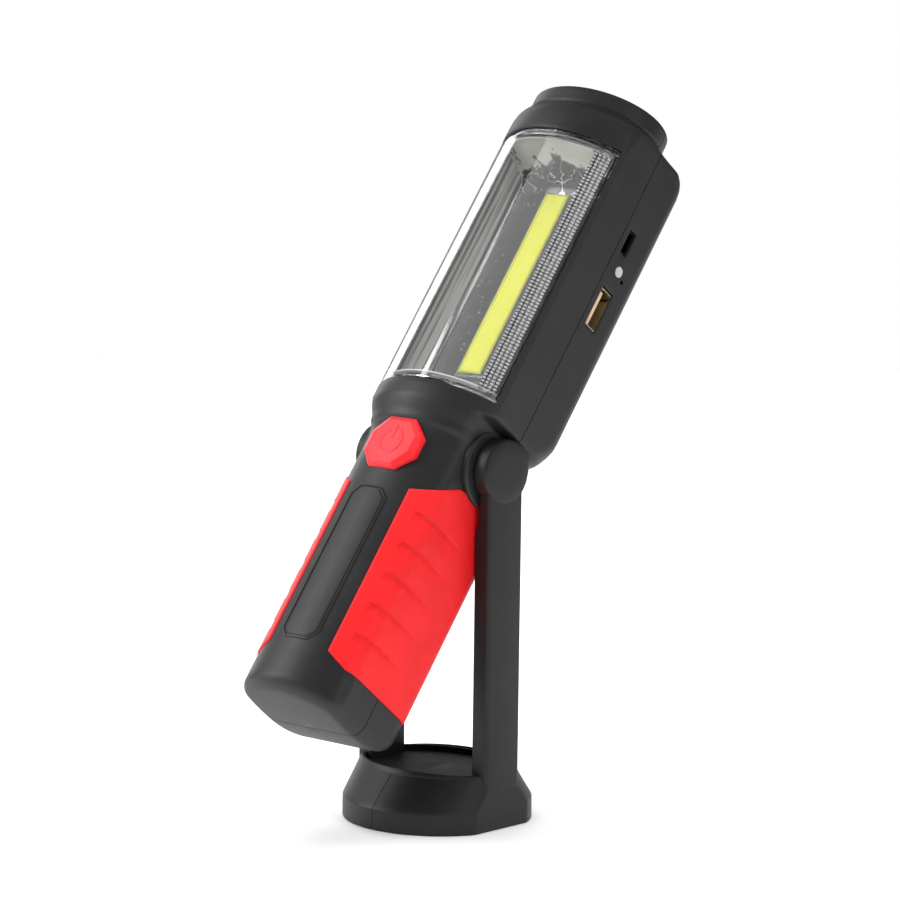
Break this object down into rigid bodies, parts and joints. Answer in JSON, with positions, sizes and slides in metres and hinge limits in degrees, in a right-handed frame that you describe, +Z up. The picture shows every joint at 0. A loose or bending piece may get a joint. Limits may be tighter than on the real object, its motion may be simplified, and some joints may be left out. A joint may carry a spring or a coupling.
{
  "type": "work light",
  "caption": "Cordless inspection lamp with a clear light window and a nose torch, tilting in a forked stand on a round magnetic base with a folding hook.",
  "frame": {"origin": "centre of the magnet's face on the underside of the base", "axes": "+Z up, -Y the way the light window faces, +X the side with the charging sockets"},
  "size_m": [0.0532, 0.1579, 0.2214],
  "materials": {
    "black_abs": "soft satin moulded surface",
    "red_rubber": "matte moulded soft-touch surface",
    "clear_plastic": "polished clear moulding",
    "chrome_plating": "bright vacuum plating",
    "steel": "zinc-plated",
    "nickel_plating": "nickel plated sheet",
    "led_phosphor": "yellow silicone phosphor",
    "aluminium": "milled plate",
    "circuit_board": "green solder mask",
    "white_plastic": "smooth moulding",
    "brass": "gold-coloured contacts",
    "battery_wrap": "shrink sleeve",
    "red_wire": "insulated wire",
    "black_wire": "insulated wire"
  },
  "bodies": {
    "stand": {"stand_right": "black_abs", "stand_left": "black_abs", "base_cover": "black_abs", "base_magnet": "nickel_plating", "steel_ballast": "steel", "cover_screw_1": "steel", "cover_screw_2": "steel", "cover_screw_3": "steel", "cover_screw_4": "steel"},
    "lamp": {"front_shell": "black_abs", "back_shell": "black_abs", "shell_screw_1": "steel", "shell_screw_2": "steel", "shell_screw_3": "steel", "shell_screw_4": "steel", "shell_screw_5": "steel", "shell_screw_6": "steel", "window_lens": "clear_plastic", "reflector": "chrome_plating", "cob_board": "aluminium", "cob_strip": "led_phosphor", "torch_board": "circuit_board", "torch_reflector": "chrome_plating", "torch_led_1": "white_plastic", "torch_led_2": "white_plastic", "torch_led_3": "white_plastic", "torch_led_4": "white_plastic", "torch_led_5": "white_plastic", "torch_lens": "clear_plastic", "torch_bezel": "black_abs", "torch_cradle": "black_abs", "main_board": "circuit_board", "usb_a_shell": "nickel_plating", "usb_a_tongue": "brass", "micro_usb_shell": "nickel_plating", "micro_usb_tongue": "white_plastic", "status_light_pipe": "white_plastic", "charge_light_pipe": "white_plastic", "battery_cell": "battery_wrap", "battery_tab_positive": "nickel_plating", "battery_tab_negative": "nickel_plating", "battery_lead_positive": "red_wire", "battery_lead_negative": "black_wire", "cob_lead": "red_wire", "torch_lead": "red_wire", "switch_board": "circuit_board", "push_switch": "white_plastic", "handle_plate": "black_abs", "grip_right": "red_rubber", "grip_left": "red_rubber", "pivot_pin_right": "steel", "friction_washer_right": "steel", "pivot_pin_left": "steel", "friction_washer_left": "steel"},
    "button": {"power_button": "red_rubber"},
    "hook": {"hanging_hook": "steel"}
  },
  "joints": [
    {"name": "lamp_tilt", "type": "hinge", "parent": "stand", "child": "lamp", "pos_m": [0, 0, 0.109], "axis": [-1, 0, 0], "range_deg": [-129.5, 57.5]},
    {"name": "power_press", "type": "slide", "parent": "lamp", "child": "button", "axis": [0, 0.7934, -0.6088], "range_m": [0, 0.0008], "stiffness_N_per_m": 1500, "springref_m": -0.0003},
    {"name": "hook_fold", "type": "hinge", "parent": "stand", "child": "hook", "pos_m": [0, 0.0135, 0.0021], "axis": [1, 0, 0], "range_deg": [0, 90]}
  ]
}
